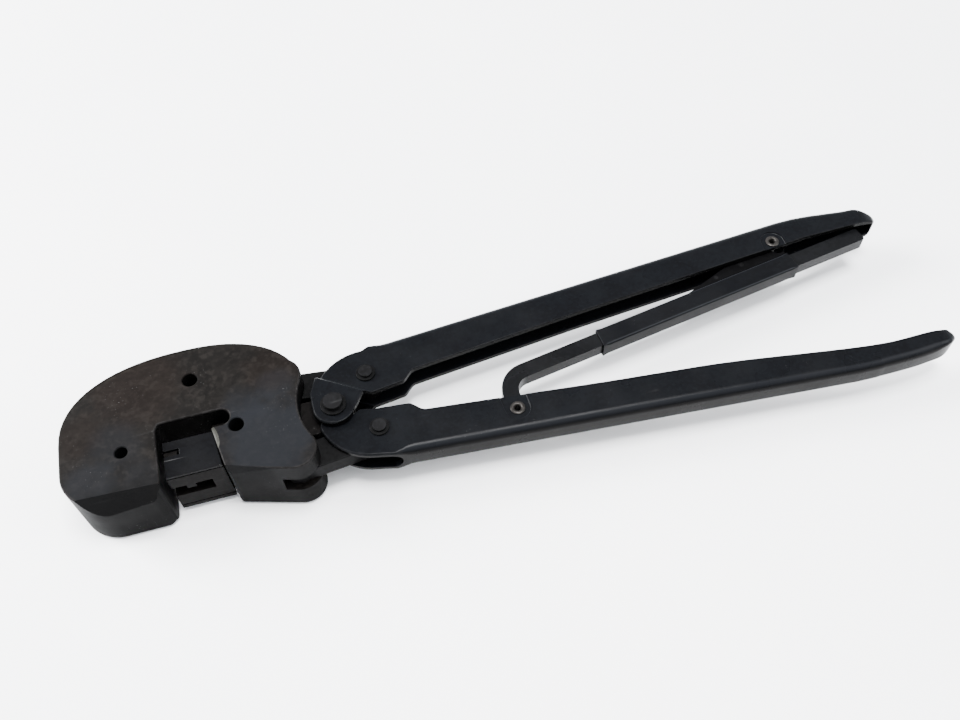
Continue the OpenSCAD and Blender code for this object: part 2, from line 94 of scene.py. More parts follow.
# ---- materials ----
class Nodes:
    """A node material under construction, in object coordinates, which ride with the piece.

    A noise's scale is in waves per metre.
    """

    def __init__(self, name):
        self.material = bpy.data.materials.new(name)
        self.material.use_nodes = True
        self.tree = self.material.node_tree
        self.shader = self.tree.nodes["Principled BSDF"]
        self.coordinates = self.tree.nodes.new("ShaderNodeTexCoord").outputs["Object"]

    def link(self, a, b):
        self.tree.links.new(a, b)

    def noise(self, scale, detail=4, stretch=(1, 1, 1), turn=0, distortion=0):
        mapping = self.tree.nodes.new("ShaderNodeMapping")
        mapping.inputs["Scale"].default_value = stretch
        mapping.inputs["Rotation"].default_value = (0, 0, turn)
        self.link(self.coordinates, mapping.inputs["Vector"])
        node = self.tree.nodes.new("ShaderNodeTexNoise")
        node.inputs["Scale"].default_value = scale
        node.inputs["Detail"].default_value = detail
        node.inputs["Distortion"].default_value = distortion
        self.link(mapping.outputs["Vector"], node.inputs["Vector"])
        return node.outputs["Fac"]

    def ramp(self, value, low, high, start=0.0, end=1.0):
        """start where the value is at low, end where it is at high, and smooth between them."""
        node = self.tree.nodes.new("ShaderNodeMapRange")
        node.interpolation_type = "SMOOTHSTEP"
        node.inputs["From Min"].default_value = low
        node.inputs["From Max"].default_value = high
        node.inputs["To Min"].default_value = start
        node.inputs["To Max"].default_value = end
        self.link(value, node.inputs["Value"])
        return node.outputs["Result"]

    def times(self, a, b):
        node = self.tree.nodes.new("ShaderNodeMath")
        node.operation = "MULTIPLY"
        for socket, value in zip(node.inputs, (a, b)):
            if isinstance(value, (int, float)):
                socket.default_value = value
            else:
                self.link(value, socket)
        return node.outputs["Value"]

    def mix(self, factor, a, b):
        node = self.tree.nodes.new("ShaderNodeMix")
        node.data_type = "RGBA"
        self.link(factor, node.inputs["Factor"])
        for socket, colour in ((node.inputs[6], a), (node.inputs[7], b)):
            if isinstance(colour, tuple):
                socket.default_value = (*colour, 1)
            else:
                self.link(colour, socket)
        return node.outputs[2]

    def patch(self, at, radius, soft):
        """1 inside a ball round a point, and 0 outside it, with a soft ragged rim."""
        away = self.tree.nodes.new("ShaderNodeVectorMath")
        away.operation = "DISTANCE"
        away.inputs[1].default_value = at
        self.link(self.coordinates, away.inputs[0])
        ragged = self.tree.nodes.new("ShaderNodeMath")
        ragged.operation = "MULTIPLY_ADD"
        ragged.inputs[1].default_value = radius
        self.link(self.noise(140, 5), ragged.inputs[0])         # adds half a radius on average
        self.link(away.outputs["Value"], ragged.inputs[2])
        return self.ramp(ragged.outputs["Value"], radius * (1.5 - soft), radius * (1.5 + soft), 1, 0)

    def bump(self, height, strength, distance):
        node = self.tree.nodes.new("ShaderNodeBump")
        node.inputs["Strength"].default_value = strength
        node.inputs["Distance"].default_value = distance
        self.link(height, node.inputs["Height"])
        self.link(node.outputs["Normal"], self.shader.inputs["Normal"])

    def upwards(self):
        """The upward part of the surface's normal."""
        parts = self.tree.nodes.new("ShaderNodeSeparateXYZ")
        normal = self.tree.nodes.new("ShaderNodeNewGeometry").outputs["Normal"]
        self.link(normal, parts.inputs["Vector"])
        return parts.outputs["Z"]


MOTTLE_GAIN = 1.7           # how much brighter than the light tone the mottling is


def scratches(n, scale, turn, amount):
    """Thin light lines that run mostly along one direction."""
    fine = n.noise(scale, 2, (0.05, 1, 1), turn, 0.3)
    here = n.ramp(n.noise(40, 3), 0.52, 0.7)
    return n.times(n.ramp(fine, 0.70, 0.78, 0, amount), here)


def steel(name, dark, light, rough, worn=None, wear=0.0, spots=(), grain=900, level=0.02, metallic=0.0,
          painted_highlight=None, wall=None, mottle=0.0):
    """Oxide-black or bare steel: clouds of two tones, mottling, fine grain, flecks and scratches.

    wear adds flecks, wall is painted shade on the upright faces, the highlight colour a painted highlight
    on the rounded shoulders between them and the top, and spots are (place, radius, tint, strength).
    """
    n = Nodes(name)
    clouds = n.ramp(n.noise(90, 7, distortion=0.3), 0.25, 0.75)
    colour = n.mix(clouds, dark, light)
    colour = n.mix(n.ramp(n.noise(700, 6), 0.5, 0.6, 0, 0.8), colour, light)
    colour = n.mix(n.ramp(n.noise(520, 6, distortion=0.5), 0.47, 0.37, 0, 0.7), colour, dark)
    if mottle:
        bright = tuple(MOTTLE_GAIN * part for part in light)
        colour = n.mix(n.ramp(n.noise(380, 10, distortion=0.4), 0.5, 0.66, 0, mottle), colour, bright)
        colour = n.mix(n.ramp(n.noise(430, 10, (0.5, 1, 1), 0.3), 0.48, 0.36, 0, mottle), colour, dark)
    for at, radius, tint, strength in spots:
        colour = n.mix(n.times(n.patch(at, radius, 0.4), strength), colour, tint)
    # painted shade: the upright faces take a darker tone
    if wall:
        colour = n.mix(n.ramp(n.upwards(), 0.8, 0.3, 0, 0.8), colour, wall)
    # painted highlight: the rounded shoulders between the upright faces and the top take a lighter tone
    if painted_highlight:
        highlight_band = n.times(n.ramp(n.upwards(), 0.995, 0.93), n.ramp(n.upwards(), 0.5, 0.85))
        colour = n.mix(highlight_band, colour, painted_highlight)
    if worn:
        flecks = n.ramp(n.noise(1500, 2), 0.71 - wear, 0.77 - wear)
        flecks = n.times(flecks, n.ramp(n.noise(65, 2), 0.54, 0.66))
        colour = n.mix(n.times(flecks, 0.7), colour, worn)
        colour = n.mix(scratches(n, 420, 0.25, 0.4), colour, worn)
        colour = n.mix(scratches(n, 330, 1.9, 0.25), colour, worn)
    n.link(colour, n.shader.inputs["Base Color"])
    n.shader.inputs["Metallic"].default_value = metallic
    n.shader.inputs["Specular IOR Level"].default_value = level
    n.link(n.ramp(n.noise(60, 5), 0.3, 0.7, rough - 0.06, rough + 0.08), n.shader.inputs["Roughness"])
    n.bump(n.noise(grain, 5), 0.3, 0.0001)
    return n.material


# tones are base colours: this dark, because the tool is black on a brightly lit white floor
BLUE_RUB = (0.0052, 0.0058, 0.0072)
RUST = (0.0068, 0.0036, 0.0024)
SHADE = (0.0011, 0.0011, 0.0011)
WORN = (0.05, 0.05, 0.05)


def head_spots():
    """Worn bluish areas by the foot, the holes and the jaw's corner, rusty ones, and painted shade on the
    jaw front.
    """
    top = HEAD_HIGH.z
    areas = [                   # x from the pivot, y, z from the top, radius: all in mm
        (-24, -9, 0, 17, BLUE_RUB, 0.7), (-32, 6, 0, 8, BLUE_RUB, 0.4), (-19, 13, 0, 6, BLUE_RUB, 0.4),
        (-78, 3, 0, 9, BLUE_RUB, 0.3), (-87, -11, 0, 9, BLUE_RUB, 0.5), (-70, -13, 0, 7, BLUE_RUB, 0.3),
        (-68, 26, 0, 16, RUST, 0.2), (-20, 20, 0, 9, RUST, 0.15), (-90, 10, 0, 8, RUST, 0.15),
        # painted shade over the jaw's front face
        (-84, -24, -16, 17, SHADE, 0.9), (-68, -24, -16, 17, SHADE, 0.9),
    ]
    return [
        (Vector((PIVOT.x + x * MM, y * MM, top + z * MM)), r * MM, tint, strength)
        for x, y, z, r, tint, strength in areas
    ]


MATERIALS = {
    # the head's wall colour is painted shade on its upright faces
    "head": steel("head", (0.0022, 0.0020, 0.0019), (0.0042, 0.0037, 0.0034), 0.5, WORN, 0.035,
                  head_spots(), 700, wall=(0.0012, 0.0012, 0.0013), mottle=0.55),
    # rim tone: rubbed edges, and a painted highlight along the rims
    "head_edge_wear_and_highlight": steel("head_edge_wear_and_highlight", (0.0030, 0.0028, 0.0027), (0.0085, 0.0080, 0.0080), 0.45, WORN,
                       0.04, grain=700),
    # the handle's wall colour is painted shade on its upright faces, and its highlight colour a painted
    # highlight on its rounded shoulders
    "handle": steel("handle", (0.0014, 0.0015, 0.0019), (0.0021, 0.0024, 0.0030), 0.3, WORN, 0.0,
                    grain=1400, level=0.035, painted_highlight=(0.0044, 0.0048, 0.0058),
                    wall=(0.0012, 0.0011, 0.0010)),
    # rim tone: rubbed edges, and a painted highlight along the sheet's rims
    "handle_edge_wear_and_highlight": steel("handle_edge_wear_and_highlight", (0.0024, 0.0026, 0.0030), (0.0056, 0.0058, 0.0064), 0.36, WORN,
                         0.02, grain=1400),
    "linkage": steel("linkage", (0.0014, 0.0014, 0.0015), (0.0030, 0.0030, 0.0031), 0.42, WORN),
    # painted shade and painted sky reflection: the top plate's steel is a darker, bluer copy of the ram's
    "ram": steel("ram", (0.0010, 0.0010, 0.0012), (0.0017, 0.0018, 0.0022), 0.36, WORN, 0.0,
                 grain=1100, level=0.03),
    # painted light: the ram and its bottom plate take a lighter, warmer copy of the same steel for their
    # upright faces
    "ram_front_lit": steel("ram_front_lit", (0.0018, 0.0016, 0.0015), (0.0034, 0.0030, 0.0029), 0.45, WORN,
                       grain=1100),
    "pin": steel("pin", (0.0019, 0.0019, 0.0020), (0.0038, 0.0038, 0.0042), 0.4, WORN, 0.0,
                 grain=1200, level=0.03),
    "ratchet": steel("ratchet", (0.0010, 0.0011, 0.0013), (0.0019, 0.0020, 0.0024), 0.28, WORN,
                     grain=1200, level=0.07),
    # the case's highlight colour is a painted highlight along its rounded edges
    "case": steel("case", (0.0008, 0.0009, 0.0012), (0.0013, 0.0015, 0.0020), 0.34, WORN, 0.0,
                  grain=1300, level=0.05, painted_highlight=(0.0070, 0.0076, 0.0092)),
    # painted shade: the tabs lie in the shadow inside the upper handle's channel, so their steel is
    # painted nearly black
    "tab": steel("tab", (0.0006, 0.0006, 0.0007), (0.0012, 0.0012, 0.0014), 0.5),
    "rivet": steel("rivet", (0.0095, 0.0090, 0.0084), (0.0205, 0.0190, 0.0180), 0.38, WORN, 0.0,
                   grain=1200, level=0.04, metallic=0.6),
    "scallop": steel("scallop", (0.0154, 0.0154, 0.0134), (0.0280, 0.0280, 0.0252), 0.4, level=0.03),
    "spring": steel("spring", (0.0150, 0.0150, 0.0150), (0.0300, 0.0300, 0.0290), 0.3, metallic=0.6),
}


# ---- mesh tools ----
def new_object(name, bm):
    """A mesh object in the scene, made from a bmesh that this frees."""
    bmesh.ops.recalc_face_normals(bm, faces=bm.faces)
    mesh = bpy.data.meshes.new(name)
    bm.to_mesh(mesh)
    bm.free()
    piece = bpy.data.objects.new(name, mesh)
    bpy.context.scene.collection.objects.link(piece)
    return piece


def remove(piece):
    """Removes a cutting tool that has done its work."""
    mesh = piece.data
    bpy.data.objects.remove(piece)
    bpy.data.meshes.remove(mesh)


def area(loop):
    """The area inside a loop, which is negative if it runs clockwise."""
    return sum(a.x * b.y - a.y * b.x for a, b in zip(loop, loop[1:] + loop[:1])) / 2


def straightened(loop):
    """The loop without the points that lie on a straight run."""
    kept = []
    for i, p in enumerate(loop):
        before = (p - loop[i - 1]).normalized()
        after = (loop[(i + 1) % len(loop)] - p).normalized()
        if before.dot(after) < 0.999999:
            kept.append(p)
    return kept


def section(mesh, z):
    """Outlines of a mesh cut by a level plane: the largest first, and all anticlockwise."""
    bm = bmesh.new()
    bm.from_mesh(mesh)
    bmesh.ops.remove_doubles(bm, verts=bm.verts, dist=1e-6)
    everything = bm.verts[:] + bm.edges[:] + bm.faces[:]
    cut = bmesh.ops.bisect_plane(bm, geom=everything, plane_co=(0, 0, z), plane_no=(0, 0, 1))
    edges = {e for e in cut["geom_cut"] if isinstance(e, bmesh.types.BMEdge)}
    bm.edges.index_update()
    loops = []
    while edges:
        edge = min(edges, key=lambda e: e.index)
        edges.discard(edge)
        start, vert = edge.verts
        loop = [start.co.xy.copy()]
        while vert != start:
            loop.append(vert.co.xy.copy())
            edge = next(e for e in vert.link_edges if e in edges)
            edges.discard(edge)
            vert = edge.other_vert(vert)
        loops.append(straightened(loop if area(loop) > 0 else loop[::-1]))
    bm.free()
    return sorted(loops, key=area, reverse=True)


def circle_of(loop):
    """Centre and radius of a round outline."""
    centre = sum(loop, Vector((0, 0))) / len(loop)
    return centre, sum((p - centre).length for p in loop) / len(loop)


def dense(loop, step):
    """The loop with points added so that no edge is longer than step."""
    points = []
    for a, b in zip(loop, loop[1:] + loop[:1]):
        count = max(1, math.ceil((b - a).length / step))
        points += [a.lerp(b, i / count) for i in range(count)]
    return points


def normals(loop):
    """Outward directions at the points of an anticlockwise loop, longer at sharp corners."""
    found = []
    for i, p in enumerate(loop):
        a = (p - loop[i - 1]).normalized()
        b = (loop[(i + 1) % len(loop)] - p).normalized()
        m, n = Vector((a.y, -a.x)), Vector((b.y, -b.x))
        found.append((m + n) / max(0.5, 1 + m.dot(n)))
    return found


def ring(bm, points):
    """New vertices at the points."""
    return [bm.verts.new(p) for p in points]


def skin(bm, rings, closed=False, rims=()):
    """Faces between rings of vertices, with caps unless the rings close on themselves."""
    count = len(rings[0])
    pairs = list(zip(rings, rings[1:] + (rings[:1] if closed else [])))
    for level, (low, high) in enumerate(pairs):
        for i in range(count):
            j = (i + 1) % count
            face = bm.faces.new((low[i], low[j], high[j], high[i]))
            face.material_index = 1 if level in rims else 0
    if not closed:
        bm.faces.new(rings[0][::-1])
        bm.faces.new(rings[-1])


def rounded_slab(name, loop, z0, z1, radius, steps=3, rim_material=False, low_radius=None):
    """A plate over an outline whose rims are rounded; a radius is a function of point and normal."""
    outward = normals(loop)
    bm = bmesh.new()
    rings = []
    for z, side, rounding in ((z0, 1, low_radius or radius), (z1, -1, radius)):
        radii = [rounding(p, n) for p, n in zip(loop, outward)]
        for k in range(steps, -1, -1) if side == 1 else range(steps + 1):
            turn = math.pi / 2 * k / steps
            inset, rise = 1 - math.cos(turn), 1 - math.sin(turn)
            rings.append(ring(bm, [
                (*(p - n * r * inset), z + side * r * rise) for p, n, r in zip(loop, outward, radii)
            ]))
    # the ring order is: lower rim from its cap outwards, then upper rim to its cap
    rims = [k for k in range(2 * steps + 1) if k != steps] if rim_material else ()
    skin(bm, rings, rims=rims)
    return new_object(name, bm)


def turned(name, centre, profile, closed=False, segments=48):
    """A solid of revolution about a vertical line; profile is (radius, z) points."""
    bm = bmesh.new()
    rings = [
        ring(bm, [
            (centre.x + r * math.cos(a), centre.y + r * math.sin(a), z)
            for a in (2 * math.pi * i / segments for i in range(segments))
        ])
        for r, z in profile
    ]
    skin(bm, rings, closed)
    return new_object(name, bm)


def prism(name, profile, place):
    """A solid with the same profile at both ends; place(point, end) gives a corner in space."""
    bm = bmesh.new()
    skin(bm, [ring(bm, [place(p, end) for p in profile]) for end in (0, 1)])
    return new_object(name, bm)


def block(name, low, high, matrix=Matrix.Identity(4)):
    """A box between two corners, used only to cut with."""
    corners = [(low[0], low[1]), (high[0], low[1]), (high[0], high[1]), (low[0], high[1])]
    return prism(name, corners, lambda p, end: matrix @ Vector((*p, (low[2], high[2])[end])))


def rod(name, a, b, radius, segments=40):
    """A round bar between two points, used only to cut with."""
    a, b = Vector(a), Vector(b)
    bm = bmesh.new()
    aim = (b - a).to_track_quat("Z", "Y").to_matrix().to_4x4()
    matrix = Matrix.Translation((a + b) / 2) @ aim
    bmesh.ops.create_cone(bm, cap_ends=True, segments=segments, radius1=radius, radius2=radius,
                          depth=(b - a).length, matrix=matrix)
    return new_object(name, bm)


def combine(piece, tool, how="DIFFERENCE", own_material=False):
    """Cuts the tool out of the piece, or joins it on, and removes the tool."""
    step = piece.modifiers.new("step", "BOOLEAN")
    step.operation = how
    step.solver = "EXACT"
    step.object = tool
    step.material_mode = "TRANSFER" if own_material else "INDEX"
    graph = bpy.context.evaluated_depsgraph_get()
    graph.update()
    mesh = bpy.data.meshes.new_from_object(piece.evaluated_get(graph))
    piece.modifiers.clear()
    old = piece.data
    piece.data = mesh
    bpy.data.meshes.remove(old)
    remove(tool)


def bore(piece, centre, radius, z0, z1, chamfer=0.3 * MM, through=True):
    """A round hole whose upper rim, and lower rim if it goes through, is broken."""
    over = 1 * MM
    top = [(radius, z1 - chamfer), (radius + chamfer + over, z1 + over)]
    end = [(radius + chamfer + over, z0 - over), (radius, z0 + chamfer)] if through else [(radius, z0)]
    combine(piece, turned("bore", centre, end + top))


def mend(piece):
    """Merges the slivers that cuts leave behind."""
    bm = bmesh.new()
    bm.from_mesh(piece.data)
    bmesh.ops.remove_doubles(bm, verts=bm.verts[:], dist=0.004 * MM)
    bmesh.ops.dissolve_degenerate(bm, edges=bm.edges[:], dist=0.004 * MM)
    bm.to_mesh(piece.data)
    bm.free()


def smooth(piece, angle=32):
    """Smooth shading, with edges sharper than the angle kept crisp."""
    piece.data.shade_smooth()
    piece.data.set_sharp_from_angle(angle=math.radians(angle))
    piece.modifiers.new("normals", "WEIGHTED_NORMAL").keep_sharp = True


def ease(value):
    """A smooth step from 0 to 1."""
    value = max(0.0, min(1.0, value))
    return value * value * (3 - 2 * value)


def paint(piece, *materials):
    """Gives the piece its material slots, by name."""
    for name in materials:
        piece.data.materials.append(MATERIALS[name])


def dress(piece, body, node):
    """Puts the piece under the body that moves it, and hides the CAD node that it stands for."""
    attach(piece, body)
    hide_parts(node)


# ---- head ----
HEAD_ROUND = 0.6 * MM             # rounding of the head's top rim and of its base
BASE_ROUND = 1.8 * MM
ANVIL_TOP = 0.7 * MM              # how far the anvil face leans out at its top and its base
ANVIL_BASE = 0.4 * MM
ANVIL_NEAR = 0.8 * MM             # corners this near the anvil's plane belong to its face
POCKET_GAP = 0.4 * MM             # round the ram block and the links
TONGUE_GAP = 0.3 * MM             # beside the ram's tongue and behind its block
POCKET_REACH = 4.8 * MM           # from the ram block's rear to the end of its pocket
BEVEL_Y = 3.4 * MM                # bevel along the jaw's top front edge
BEVEL_Z = 9.5 * MM
BEVEL_SWING = (0.9 * MM, -1.1 * MM)     # the bevel narrows towards the anvil
ANVIL_GAP = 2.2 * MM              # from the ram block's face to the anvil
CLEVIS_REACH = 6.5 * MM           # from the link pins to the end of the clevis slot
GUIDE_DEPTH = 12.5 * MM           # of the hole that ends in the ram's channel
WALL_BACK = 1.8 * MM              # from the ram block's front rear corner to its back one
POCKET_START = 6.7 * MM           # from that back corner forwards to the start of the pocket
JAW_REACH = 10 * MM               # from the anvil to where the jaw's front is straight
THROAT_GAP = 1 * MM               # behind the ram
FOOT_CORNER = Vector((PIVOT.x - 41 * MM, -17.1 * MM))     # start of the facet on the foot's top edge
FOOT_ALONG = Vector((22, -6.7)).normalized()
FOOT_INSET, FOOT_DROP, FOOT_LENGTH = 1.1 * MM, 5.2 * MM, 19 * MM   # its start's widths, and its length
SCALLOP_AT = Vector((PIVOT.x - 43.9 * MM, -3.4 * MM))
SCALLOP_SIZE = (2.3 * MM, 6.2 * MM, 3.2 * MM)
SCALLOP_TURN = math.radians(9)
SCALLOP_RISE = 1.2 * MM           # of its middle over the head's top face


def front_bevel(jaw_y, anvil_x):
    """Wedge that leaves the long bevel on the jaw."""
    top = HEAD_HIGH.z
    away = 5 * MM
    slope = BEVEL_Y / BEVEL_Z
    profile = [
        (jaw_y - away * slope, top - BEVEL_Z - away), (jaw_y + BEVEL_Y + away * slope, top + away),
        (jaw_y - 2 * away, top + away), (jaw_y - 2 * away, top - BEVEL_Z - away)
    ]
    ends = (HEAD_LOW.x - away, anvil_x + away)
    return prism("wedge", profile, lambda p, end: (ends[end], p[0] + BEVEL_SWING[end], p[1]))


def foot_facet():
    """Block over the flat that tapers along the foot's top front edge."""
    side = Vector((-FOOT_ALONG.y, FOOT_ALONG.x, 0))           # into the head
    start = Vector((*FOOT_CORNER, HEAD_HIGH.z))
    far = start + Vector((*FOOT_ALONG, 0)) * FOOT_LENGTH
    a = start + side * FOOT_INSET
    b = start - Vector((0, 0, FOOT_DROP))
    normal = (a - far).cross(b - far).normalized()
    if normal.dot(side) > 0:
        normal = -normal
    u = (a - far).normalized()
    v = normal.cross(u)
    matrix = Matrix((u, v, normal)).transposed().to_4x4()
    matrix.translation = far
    reach, past, thick = 30 * MM, 2.5 * MM, 6 * MM
    return block("facet", (0, -reach, 0), ((a - far).length + past, reach, thick), matrix)


def make_head():
    """The casting: jaw, throat, clevis for the handles and pockets for the ram and the links."""
    mesh = NODES["head_frame"].data
    low_loops = section(mesh, HEAD_LOW.z + 1 * MM)
    high_loops = section(mesh, HEAD_HIGH.z - 1 * MM)
    plan = dense(low_loops[0], 3 * MM)
    bottom, top = HEAD_LOW.z, HEAD_HIGH.z
    head = rounded_slab("head_casting", plan, bottom, top, lambda p, n: HEAD_ROUND, 6,
                        rim_material=True, low_radius=lambda p, n: BASE_ROUND)
    # the rims take the lighter rim tone: rubbed edges and a painted highlight
    paint(head, "head", "head_edge_wear_and_highlight")
    anvil_x = RAM_LOW.x - ANVIL_GAP
    throat_y = RAM_HIGH.y + THROAT_GAP
    for v in head.data.vertices:
        if abs(v.co.x - anvil_x) < ANVIL_NEAR and v.co.y < throat_y:
            share = (v.co.z - bottom) / (top - bottom)
            v.co.x += ANVIL_TOP * share + ANVIL_BASE * (1 - share)
    jaw_y = min(p.y for p in plan if p.x < anvil_x - JAW_REACH)
    combine(head, front_bevel(jaw_y, anvil_x))
    combine(head, foot_facet())
    over = 20 * MM
    slot_low, slot_high = LINK_LOW.z - POCKET_GAP, LINK_HIGH.z + POCKET_GAP
    clevis_x = middle("upper_link_pin").x - CLEVIS_REACH
    combine(head, block("clevis", (clevis_x, -over * 2, slot_low), (PIVOT.x + over, over * 2, slot_high)))
    block_end = TOP_PLATE_HIGH.x - WALL_BACK
    tongue = RAM_HIGH.y + TONGUE_GAP
    combine(head, block("channel", (block_end - 1 * MM, -tongue, slot_low), (PIVOT.x, tongue, slot_high)))
    front, back = TOP_PLATE_LOW.y - POCKET_GAP, TOP_PLATE_HIGH.y + TONGUE_GAP
    start = block_end - POCKET_START
    pocket = [
        (start, front), (TOP_PLATE_HIGH.x + POCKET_REACH, front), (block_end + POCKET_REACH, back),
        (start, back)
    ]
    levels = (BOTTOM_PLATE_LOW.z - POCKET_GAP, TOP_PLATE_HIGH.z + POCKET_GAP)
    combine(head, prism("pocket", pocket, lambda p, end: (*p, levels[end])))
    for loop in high_loops[1:]:
        centre, radius = circle_of(loop)
        goes_through = any((circle_of(other)[0] - centre).length < MM for other in low_loops[1:])
        depth = bottom if goes_through else top - GUIDE_DEPTH
        bore(head, centre, radius, depth, top, through=goes_through)
    for pin in ("upper_link_pin", "lower_link_pin"):
        at, radius = middle(pin), half_size(pin).x
        combine(head, rod("hole", (at.x, at.y, bottom - MM), (at.x, at.y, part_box(pin)[1].z), radius))
    scoop = Matrix.Translation((*SCALLOP_AT, top + SCALLOP_RISE))
    scoop = scoop @ Matrix.Rotation(SCALLOP_TURN, 4, "Z") @ Matrix.Diagonal((*SCALLOP_SIZE, 1))
    bm = bmesh.new()
    bmesh.ops.create_uvsphere(bm, u_segments=40, v_segments=24, radius=1, matrix=scoop)
    tool = new_object("scallop", bm)
    paint(tool, "scallop")
    combine(head, tool, own_material=True)
    mend(head)
    smooth(head, 16)
    dress(head, "head", "head_frame")


# ---- handles ----
SHANK_R = 2 * MM                      # of the hollow rivets
SHEET = 2 * MM
HANDLE_HALF = half_size("lower_handle").z
ROOM_HALF = HANDLE_HALF - SHEET       # of the space between the cheeks
BACK_ROUND = 3.3 * MM                 # rounding of the folded back, and of the space inside it
ROOM_ROUND = 1.4 * MM
RIM_ROUND = 0.35 * MM                 # rounding of the sheet's inner edge
CLEAR_Y = 70 * MM                     # past the handles, for tools that cut right through them
BACK_START = PIVOT.x + 17.5 * MM      # where a handle's back begins
BACK_EARLY = 0.5 * MM                 # how far before that its rounding starts to grow
BACK_FADE = 7 * MM                    # and over what length
MOUTH_X = PIVOT.x + 16 * MM           # middle of the round notch in the back's front edge
DOME = 9 * MM                         # length of a handle's domed tip
DOME_END = 0.85                       # how much of a quarter round the dome covers
TIP_ROUND = 1.7 * MM                  # rounding of the back at the tip
TIP_FADE = 10 * MM                    # length over which the rounding shrinks to that
FRONT_ROUND = 0.8 * MM                # rounding of a handle's round front
TIP_BEND = 3.2 * MM                   # how far the lower handle's inner edge bends outwards
BEND_START, BEND_LENGTH = 135 * MM, 75 * MM           # along X, from the pivot
INNER_EDGE = 30.3 * MM                # along the bend, points nearer than this to y = 0 are inner ones
LOW_TIP = (                           # the lower handle's end in mm: x from the pivot, and y
    (204, -39.3), (211, -39.3), (218, -39.2), (224, -38.8), (229, -38.1), (233, -37.1), (235.8, -35.5),
    (236.6, -34.6), (236.8, -33.6), (236.6, -32.6), (235.9, -31.8), (234.3, -31.2),
    (231, -31.0), (227, -30.7), (222, -30.7), (216, -30.8), (210, -30.7), (204, -30.2),
)
LOW_FRONT = (PIVOT.xy + Vector((14, -2.2)) * MM, 21.2 * MM)     # arc of the lower handle's front
LOW_FRONT_X, LOW_FRONT_Y = 10 * MM, -6 * MM           # it takes the points before and beyond these
SHOULDER_X, SHOULDER_Y = 17 * MM, -15 * MM            # straight run from the arc to the back, likewise
SHOULDER_START, SHOULDER_SLOPE = -23 * MM, 0.233
JOGGLE_A = PIVOT.xy + Vector((-4.7, 13.6)) * MM       # the bend of the outer ears runs from A to B
JOGGLE_B = PIVOT.xy + Vector((11.6, 2.9)) * MM
JOGGLE_WIDTH = 2.6 * MM
SEAT_R = 4.9 * MM                     # pressed seat of a hollow rivet
SEAT_DEPTH = 0.5 * MM
SEAT_ROUND = 0.45 * MM
SEAT_REACH = 12 * MM                  # from the rivet to past the inner edge


def back_share(p, n, side):
    """1 on a handle's back and tip, and 0 on its other edges."""
    ahead = n.x if p.x > TIP_X - DOME else 0
    facing = ease((max(n.y * side, ahead) - 0.1) / 0.4)
    return facing * ease((p.x - BACK_START + BACK_EARLY) / BACK_FADE)


def room(loop, side):
    """Outline of the space between a handle's cheeks, one sheet inside its back and its tip."""
    spacing = 0.3 * MM
    outward = normals(loop)
    wall = [
        (p, p - n * SHEET) for p, n in zip(loop, outward)
        if p.x > MOUTH_X - 0.6 * MM and n.y * side > -0.05 and max(n.y * side, n.x) > 0.4
    ]
    wall.sort(key=lambda pair: pair[0].x - pair[0].y * side * 0.3)
    tip = max(q.x for p, q in wall)
    inner = []
    for p, q in wall:
        if MOUTH_X + 0.1 * MM < q.x < tip - spacing and (not inner or q.x > inner[-1].x + spacing):
            inner.append(q)
    start, end = inner[0].y, inner[-1].y
    front, past = PIVOT.x - 30 * MM, side * CLEAR_Y
    points = [Vector((front, -past)), Vector((front, past)), Vector((MOUTH_X, past))]
    points += [Vector((MOUTH_X, start))] + inner + [Vector((tip, end)), Vector((tip, -past))]
    return points if area(points) > 0 else points[::-1]


def seat_outline(at, side):
    """A U that is open towards the handle's inner edge."""
    turns = [math.pi * i / 24 for i in range(25)]
    points = [at + Vector((SEAT_R * math.cos(t), side * SEAT_R * math.sin(t))) for t in turns]
    points += [
        at + Vector((-SEAT_R - 1 * MM, -side * SEAT_REACH)), at + Vector((SEAT_R, -side * SEAT_REACH))
    ]
    return points if area(points) > 0 else points[::-1]


def slice_across(bm, at, normal):
    """Cuts edges into the mesh along a plane, so that it can bend there."""
    everything = bm.verts[:] + bm.edges[:] + bm.faces[:]
    bmesh.ops.bisect_plane(bm, geom=everything, plane_co=at, plane_no=normal)


def joggle(handle):
    """Bends the outer ears outwards along a line across each cheek."""
    along = (JOGGLE_A - JOGGLE_B).normalized()
    to_pivot = Vector((along.y, -along.x))
    if to_pivot.dot(PIVOT.xy - JOGGLE_A) < 0:
        to_pivot = -to_pivot
    step_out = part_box("upper_handle")[1].z - MID_Z - HANDLE_HALF
    bm = bmesh.new()
    bm.from_mesh(handle.data)
    cuts = 8
    for k in range(cuts + 1):
        at = JOGGLE_A - to_pivot * JOGGLE_WIDTH * (1 - k / cuts)
        slice_across(bm, (*at, 0), (*to_pivot, 0))
    for v in bm.verts:
        past = (v.co.xy - JOGGLE_A).dot(to_pivot) / JOGGLE_WIDTH + 1
        v.co.z += math.copysign(step_out * ease(past), v.co.z - MID_Z)
    bm.to_mesh(handle.data)
    bm.free()


def dome(handle):
    """Narrows a handle's thickness towards its tip, along an oval."""
    bm = bmesh.new()
    bm.from_mesh(handle.data)
    cuts = 12
    for k in range(cuts):
        slice_across(bm, (TIP_X - DOME * (1 - k / cuts), 0, 0), (1, 0, 0))
    for v in bm.verts:
        share = max(0.0, (v.co.x - TIP_X) / DOME + 1) * DOME_END
        v.co.z = MID_Z + (v.co.z - MID_Z) * math.sqrt(1 - share * share)
    bm.to_mesh(handle.data)
    bm.free()


